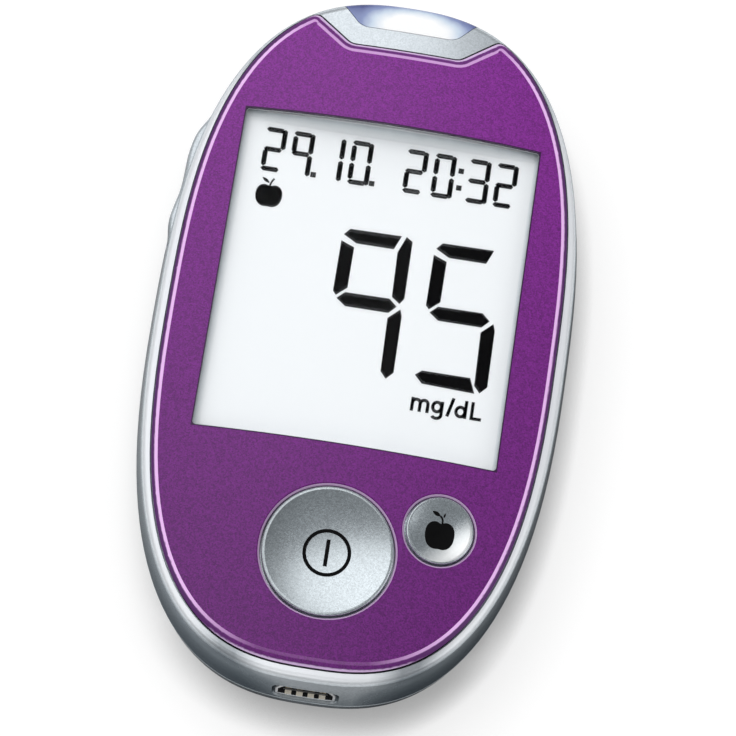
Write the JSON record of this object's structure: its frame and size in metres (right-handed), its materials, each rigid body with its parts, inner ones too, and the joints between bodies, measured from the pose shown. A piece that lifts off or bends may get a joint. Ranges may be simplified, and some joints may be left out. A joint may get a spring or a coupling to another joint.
{
  "type": "blood glucose meter",
  "caption": "Handheld blood glucose meter with a crowned front panel, segment display, dished front buttons, side rocker, strip port, data socket and a sliding battery cover.",
  "frame": {"origin": "centre of the bounding box's bottom, in the plane of the flat back", "axes": "+X to the right seen from the front, +Y towards the strip port along the length, +Z out of the front panel"},
  "size_m": [0.055, 0.0944, 0.0187],
  "materials": {
    "case_silver": "silver metallic lacquer, fine speckle",
    "panel_purple": "pearl purple lacquer, satin",
    "window_clear": "clear, polished",
    "button_silver": "silver metallic lacquer, satin",
    "lens_smoke": "frosted translucent",
    "lcd_glass": "polished",
    "diffuser_white": "matte white",
    "frame_black": "matte",
    "connector_black": "matte",
    "zebra_rubber": "soft, striped",
    "board_green": "solder mask",
    "chip_black": "moulded",
    "can_steel": "drawn",
    "cell_steel": "polished",
    "spring_steel": "nickel plated",
    "contact_gold": "gold flash",
    "socket_steel": "tin plated",
    "screw_steel": "blackened",
    "led_white": "clear resin",
    "passive_ceramic": "fired"
  },
  "bodies": {
    "case": {"front_housing": "case_silver", "rear_housing": "case_silver", "front_panel": "panel_purple", "display_window": "window_clear", "lcd_front_glass": "lcd_glass", "lcd_rear_glass": "lcd_glass", "display_diffuser": "diffuser_white", "display_frame": "frame_black", "zebra_strips": "zebra_rubber", "main_board": "board_green", "processor_chip": "chip_black", "memory_chip": "chip_black", "crystal": "can_steel", "buzzer": "chip_black", "board_passives": "passive_ceramic", "power_dome": "spring_steel", "marker_dome": "spring_steel", "rocker_pin": "screw_steel", "side_switch_lower": "chip_black", "side_switch_upper": "chip_black", "strip_port_lens": "lens_smoke", "strip_connector": "connector_black", "strip_contacts": "contact_gold", "port_leds": "led_white", "socket_shell": "socket_steel", "socket_tongue": "connector_black", "socket_contacts": "contact_gold", "coin_cell_upper": "cell_steel", "coin_cell_lower": "cell_steel", "battery_springs": "spring_steel", "battery_side_contacts": "spring_steel", "housing_screws": "screw_steel"},
    "power_key": {"power_button": "button_silver"},
    "marker_key": {"marker_button": "button_silver"},
    "rocker": {"side_rocker": "case_silver"},
    "cover": {"battery_cover": "case_silver"}
  },
  "joints": [
    {"name": "power_press", "type": "slide", "parent": "case", "child": "power_key", "axis": [0, 0, -1], "range_m": [0, 0.0005], "stiffness_N_per_m": 900, "springref_m": -0.0002, "deforming": ["power_dome"]},
    {"name": "marker_press", "type": "slide", "parent": "case", "child": "marker_key", "axis": [0, 0, -1], "range_m": [0, 0.0005], "stiffness_N_per_m": 900, "springref_m": -0.0002, "deforming": ["marker_dome"]},
    {"name": "rocker_tilt", "type": "hinge", "parent": "case", "child": "rocker", "pos_m": [-0.02376, 0.0191, 0.012], "axis": [0, 0, 1], "range_deg": [-2, 2], "stiffness_Nm_per_rad": 0.02},
    {"name": "cover_slide", "type": "slide", "parent": "case", "child": "cover", "axis": [0, -1, 0], "range_m": [0, 0.05]}
  ]
}
